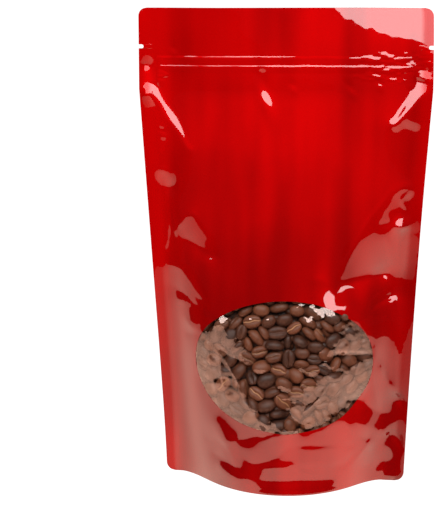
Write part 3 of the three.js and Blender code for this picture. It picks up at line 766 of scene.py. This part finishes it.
def layBeans():
    random = np.random.default_rng(bean["seed"])
    places, turns, sizes, tones, touches = [], [], [], [], []
    for count, deeper in bean["layers"]:
        place, turn, roll, size = packBeans(count, random)
        z = place[:, 1] + window["centre"]
        across = place[:, 0] / halfArc
        at = film(across, z, -1)
        aside = unit(film(across + .02, z, -1) - at)
        out = unit(np.cross(aside, film(across, z + .002, -1) - at))
        above = np.cross(out, aside)
        thick = np.hypot(bean["thickness"] * .5 * np.cos(roll), bean["width"] / 2 * np.sin(roll)) * size
        tilt = random.normal(0, bean["tilt"], count)
        sunk = random.random(count) ** 2 * bean["sunk"]
        tip = np.abs(np.sin(tilt)) * bean["length"] * .4
        depth = window["pane"] + bean["gap"] + thick + tip + deeper + sunk
        centre = at - out * depth[:, None]
        axis = aside * np.cos(turn)[:, None] + above * np.sin(turn)[:, None]
        axis = axis * np.cos(tilt)[:, None] + out * np.sin(tilt)[:, None]
        third = unit(out - axis * (out * axis).sum(1)[:, None])
        second = np.cross(third, axis)
        cos, sin = np.cos(roll)[:, None], np.sin(roll)[:, None]
        frames = np.stack([axis, second * cos + third * sin, third * cos - second * sin], -1)
        places.append(centre)
        turns += [Matrix([list(row) for row in turned]).to_euler() for turned in frames]
        sizes.append(size)
        tones.append(random.random(count))
        if deeper == 0:
            push = np.clip(1 - sunk / bean["touch"], 0, 1)
            touches = [(*spot, angle, much) for spot, angle, much in zip(place, turn, push) if much > 0]
    return np.concatenate(places), turns, np.concatenate(sizes), np.concatenate(tones), touches


beanPlaces, beanTurns, beanSizes, beanTones, beanTouches = layBeans()
print("beans laid", len(beanPlaces))


# Clear film of the window: both faces reflect, the rest passes through
def makeClearFilm():
    material, n = newFinish("clearFilm")
    facing = n.add("NewGeometry", {}, {}, 6)
    edge = n.add("Fresnel", {}, {"IOR": 1.5}) * 1.9 * (1 - facing)  # both faces at once, seen from outside
    clear = n.add("BsdfTransparent", {}, {"Color": (.97, .965, .955, 1)})
    gloss = n.add("BsdfPrincipled", {}, {"Base Color": (1, .78, .71, 1), "Metallic": 1., "Roughness": .03})
    n.add("OutputMaterial", {}, {"Surface": n.add("MixShader", {}, {0: edge, 1: clear, 2: gloss})})
    return material


def ovalGrid(size, reach=1):
    # square grid drawn onto the oval, without a pole; s and z on the film, and the edge in order
    u = np.linspace(-1, 1, size + 1)
    a, b = np.meshgrid(u, u)
    s = a * np.sqrt(1 - b * b / 2) * window["width"] / 2 * reach
    z = b * np.sqrt(1 - a * a / 2) * window["height"] / 2 * reach + window["centre"]
    index = np.arange((size + 1) ** 2).reshape(size + 1, size + 1)
    edge = np.concatenate([index[0, :-1], index[:-1, -1], index[-1, :0:-1], index[:0:-1, 0]])
    return s, z, index, edge


def makeSheet(size, reach, front, back):
    # closed sheet between two depths behind the film; depths are numbers or grids
    s, z, index, edge = ovalGrid(size, reach)
    outer, inner = [film(s / halfArc, z, -1, depth).reshape(-1, 3) for depth in (front, back)]
    count = index.size
    quads = np.stack([index[:-1, :-1], index[:-1, 1:], index[1:, 1:], index[1:, :-1]], -1).reshape(-1, 4)
    ahead = np.roll(edge, -1)
    wall = np.stack([edge, edge + count, ahead + count, ahead], -1)
    faces = np.concatenate([quads, quads[:, ::-1] + count, wall])
    return np.concatenate([outer, inner]), faces.tolist()


# Where the clear film lies on the beans, and its own creases: points in mm along the film and up from the
# window's middle, rise, and breadth to the left and the right, in mm.
cling = dict(rise=.0004, along=.0038, across=.0026, cells=160, fine=.00007)
creases = dict(
    streakLeft=([(-48.6, 29.3), (-48.1, 11.3), (-46.8, -7.2), (-44, -22.2)], .45, .7, .7),
    streakRight=([(-43.1, 28.8), (-40.8, 12.3), (-39.9, -4.2), (-37.2, -19.7)], .5, .7, .9),
    diagonal=([(-39.5, 8.3), (-34, -1.2), (-29, -9.2), (-25.8, -14.7)], .55, .7, .7),
    spikeDown=([(30.3, 42.3), (29.9, 25.8), (31.3, 13.8), (29.9, .3)], .5, .7, .9),
    squiggle=([(21.7, 1.8), (25.3, 3.8), (28.5, .8), (32.6, 2.3)], .4, .6, .6),
    lowRight=([(7.5, -30.1), (15.3, -23.2), (21.7, -17.7), (28.1, -7.2)], .4, .8, .8),
    sideRight=([(40.8, 22.3), (45.9, 12.8), (44.9, 3.8)], .35, .7, .7),
    sideRightLow=([(50, 9.3), (45.9, -3.7), (42.2, -15.7)], .35, .7, .7),
)


def clingHeight(s, z):
    height = 0 * s
    for x, up, turn, much in beanTouches:
        a, b = s - x, z - window["centre"] - up
        along, across = a * np.cos(turn) + b * np.sin(turn), b * np.cos(turn) - a * np.sin(turn)
        height = height + much * np.exp(-(along / cling["along"]) ** 2 - (across / cling["across"]) ** 2)
    fine = uneven(s, z, .0022, .0019, 31) + uneven(s, z, .005, .004, 32)
    height = cling["rise"] * height + cling["fine"] * fine
    for points, *fold in creases.values():
        height = height + foldHeight(s, z - window["centre"], points, *fold, sharp=.0003)
    edge = 1 - np.hypot(s / (window["width"] / 2), (z - window["centre"]) / (window["height"] / 2))
    return height * ramp(edge, 0, .06)


def makePane():
    size, reach = cling["cells"], window["paneShare"]
    s, z, _, _ = ovalGrid(size, reach)
    lift = clingHeight(s, z)
    vertices, faces = makeSheet(size, reach, -lift, window["pane"] - lift)
    paneFilm = newPiece("window_film", vertices, faces, makeClearFilm())
    shadeSmooth(paneFilm, pouch["sharpAngle"])
    finishPiece(paneFilm, "window_pane")
    print("window film", len(faces))


makePane()


# One bean shape is laid on the places and roughened in Geometry Nodes
def beanShape():
    # unit bean along X, its grooved flat face towards +Z
    half = bean["around"] // 2
    flat = np.linspace(-1, 1, half + 1)
    flat = np.sign(flat) * np.abs(flat) ** 1.35  # closer points beside the groove
    dome = np.linspace(0, math.pi, bean["around"] - half + 1)[1:-1]
    along = np.linspace(0, math.pi, bean["along"] + 1)[1:-1]
    rings, grooves = [], []
    for angle in along:
        x, swell = -math.cos(angle) / 2, math.sin(angle) ** .82
        bow = .035 * math.sin(4 * x * math.pi / 1.2)
        y = flat * .5
        lift = .36 * np.sqrt(np.maximum(1 - np.abs(flat) ** 3.2, 0))
        width = bean["grooveWidth"] / bean["width"]
        depth = bean["grooveDepth"] / bean["thickness"] * min(1, 2.2 * math.sin(angle))
        lift = lift - depth * np.exp(-((y - bow) / width) ** 2) * (lift > 0)
        over = np.stack([0 * y + x, y * swell, lift * swell], -1)
        under = np.stack([0 * dome + x, .5 * np.cos(dome) * swell, -.62 * np.sin(dome) ** .9 * swell], -1)
        rings.append(np.concatenate([over, under]))
        grooves.append(np.concatenate([np.exp(-((y - bow) / width) ** 2), 0 * dome]))
    count = len(rings[0])
    vertices = np.concatenate(rings + [[[-.5, 0, 0]], [[.5, 0, 0]]])
    index = np.arange(len(rings) * count).reshape(-1, count)
    ahead = np.roll(index, -1, 1)
    faces = np.stack([index[:-1], ahead[:-1], ahead[1:], index[1:]], -1).reshape(-1, 4).tolist()
    for i, j, k, m in np.stack([index[0], ahead[0], index[-1], ahead[-1]], -1).tolist():
        faces += [(index.size, j, i), (index.size + 1, k, m)]
    return vertices, faces, np.concatenate(grooves + [[0, 0]])


def beanTree(material):
    tree = bpy.data.node_groups.new("beanScatter", "GeometryNodeTree")
    n = Nodes(tree, "GeometryNode")
    sockets = {}
    kinds = dict(Points="Geometry", Bean="Object", Length="Float", Width="Float", Thickness="Float",
                 Wrinkle="Float", Seed="Float")
    for name, kind in kinds.items():
        socket = tree.interface.new_socket(name, in_out="INPUT", socket_type="NodeSocket" + kind)
        sockets[name] = socket.identifier
    tree.interface.new_socket("Beans", in_out="OUTPUT", socket_type="NodeSocketGeometry")
    given = tree.nodes.new("NodeGroupInput")
    given = {socket.name: Value(tree, socket) for socket in given.outputs if socket.name}
    shape = n.add("ObjectInfo", {"transform_space": "ORIGINAL"}, {"Object": given["Bean"]}, 4)
    attribute = {name: n.add("InputNamedAttribute", {"data_type": kind}, {"Name": name})
                 for name, kind in (("turn", "FLOAT_VECTOR"), ("size", "FLOAT"))}
    sides = [given[name] * attribute["size"] for name in ("Length", "Width", "Thickness")]
    scale = n.add("ShaderNodeCombineXYZ", {}, dict(enumerate(sides)))
    turned = n.add("FunctionNodeEulerToRotation", {}, {"Euler": attribute["turn"]})
    beans = n.add("InstanceOnPoints", {}, {"Points": given["Points"], "Instance": shape, "Rotation": turned,
                                           "Scale": scale})
    beans = n.add("RealizeInstances", {}, {"Geometry": beans})
    place = n.add("InputPosition")
    ripple = n.add("ShaderNodeTexNoise", {"noise_dimensions": "4D"}, {
        "Vector": place, "W": given["Seed"], "Scale": 420., "Detail": 2., "Roughness": .55})
    normal = n.add("InputNormal")
    lift = n.add("ShaderNodeVectorMath", {"operation": "SCALE"}, {
        0: normal, "Scale": (ripple - .5) * given["Wrinkle"] * 2})
    beans = n.add("SetPosition", {}, {"Geometry": beans, "Offset": lift})
    beans = n.add("SetShadeSmooth", {}, {"Geometry": beans})
    beans = n.add("SetMaterial", {}, {"Geometry": beans, "Material": material})
    out = tree.nodes.new("NodeGroupOutput")
    connect(tree, beans, out.inputs[0])
    return tree, sockets


def makeRoasted():
    material, n = newFinish("roasted")
    place = n.add("TexCoord", {}, {}, 3)
    tone = n.add("Attribute", {"attribute_name": "tone"}, {}, 2)
    patches = n.noise(place, 260, 3, .6)
    fine = n.noise(place, 1500, 2)
    shade = (tone * .6 + patches * .55).ramp(.15, .95)
    colour = n.mix(shade, (.022, .0058, .0024, 1), (.118, .034, .014, 1))
    groove = n.add("Attribute", {"attribute_name": "groove"}, {}, 2)
    skin = groove.ramp(.35, 1.) * (tone + fine * .8).ramp(.75, 1.3) * .7  # silver skin left in some grooves
    colour = n.mix(skin, colour, (.42, .22, .11, 1))
    bump = n.add("Bump", {}, {"Strength": .5, "Distance": .0002, "Height": fine + patches * .8})
    shader = n.add("BsdfPrincipled", {}, {
        "Base Color": colour, "Roughness": .42 + patches * .2, "Normal": bump, "Specular IOR Level": .3})
    n.add("OutputMaterial", {}, {"Surface": shader})
    return material


roasted = makeRoasted()


def makeBeans():
    vertices, faces, groove = beanShape()
    pattern = newPiece("beanPattern", vertices, faces, roasted)
    addLayer(pattern, "groove", groove)
    points = newPiece("beanPoints", beanPlaces, [], roasted)
    addLayer(points, "turn", np.array([tuple(turn) for turn in beanTurns]))
    addLayer(points, "size", beanSizes)
    addLayer(points, "tone", beanTones)
    tree, sockets = beanTree(roasted)
    scatter = points.modifiers.new("scatter", "NODES")
    scatter.node_group = tree
    scatter[sockets["Bean"]] = pattern
    for name in ("length", "width", "thickness", "wrinkle", "seed"):
        scatter[sockets[name.title()]] = float(bean[name])
    bpy.context.view_layer.update()
    evaluated = points.evaluated_get(bpy.context.evaluated_depsgraph_get())
    mesh = bpy.data.meshes.new_from_object(evaluated)
    mesh.name = "beans"
    beans = newObject("beans", mesh)
    for helper in (points, pattern):
        bpy.data.objects.remove(helper)
    finishPiece(beans, "coffee_beans")
    print("beans", len(beanPlaces), "faces", len(mesh.polygons))


def makeCore():
    # a bumpy sheet behind the two layers closes the gaps between them
    s, z, _, _ = ovalGrid(core["cells"], core["reach"])
    random = np.random.default_rng(bean["seed"] + 1)
    knobs = (random.random((core["knobs"], 2)) - .5) * [window["width"] * 1.2, window["height"] * 1.2]
    knobs[:, 1] += window["centre"]
    nearest = np.min(np.hypot(s[..., None] - knobs[:, 0], z[..., None] - knobs[:, 1]), -1)
    front = core["front"] - core["bump"] * np.exp(-(nearest / (core["cell"] / 2)) ** 2)
    vertices, faces = makeSheet(core["cells"], core["reach"], front, core["back"])
    beanCore = newPiece("bean_core", vertices, faces, roasted)
    shadeSmooth(beanCore)
    finishPiece(beanCore, "coffee_beans")


makeBeans()
makeCore()
print("beans made")
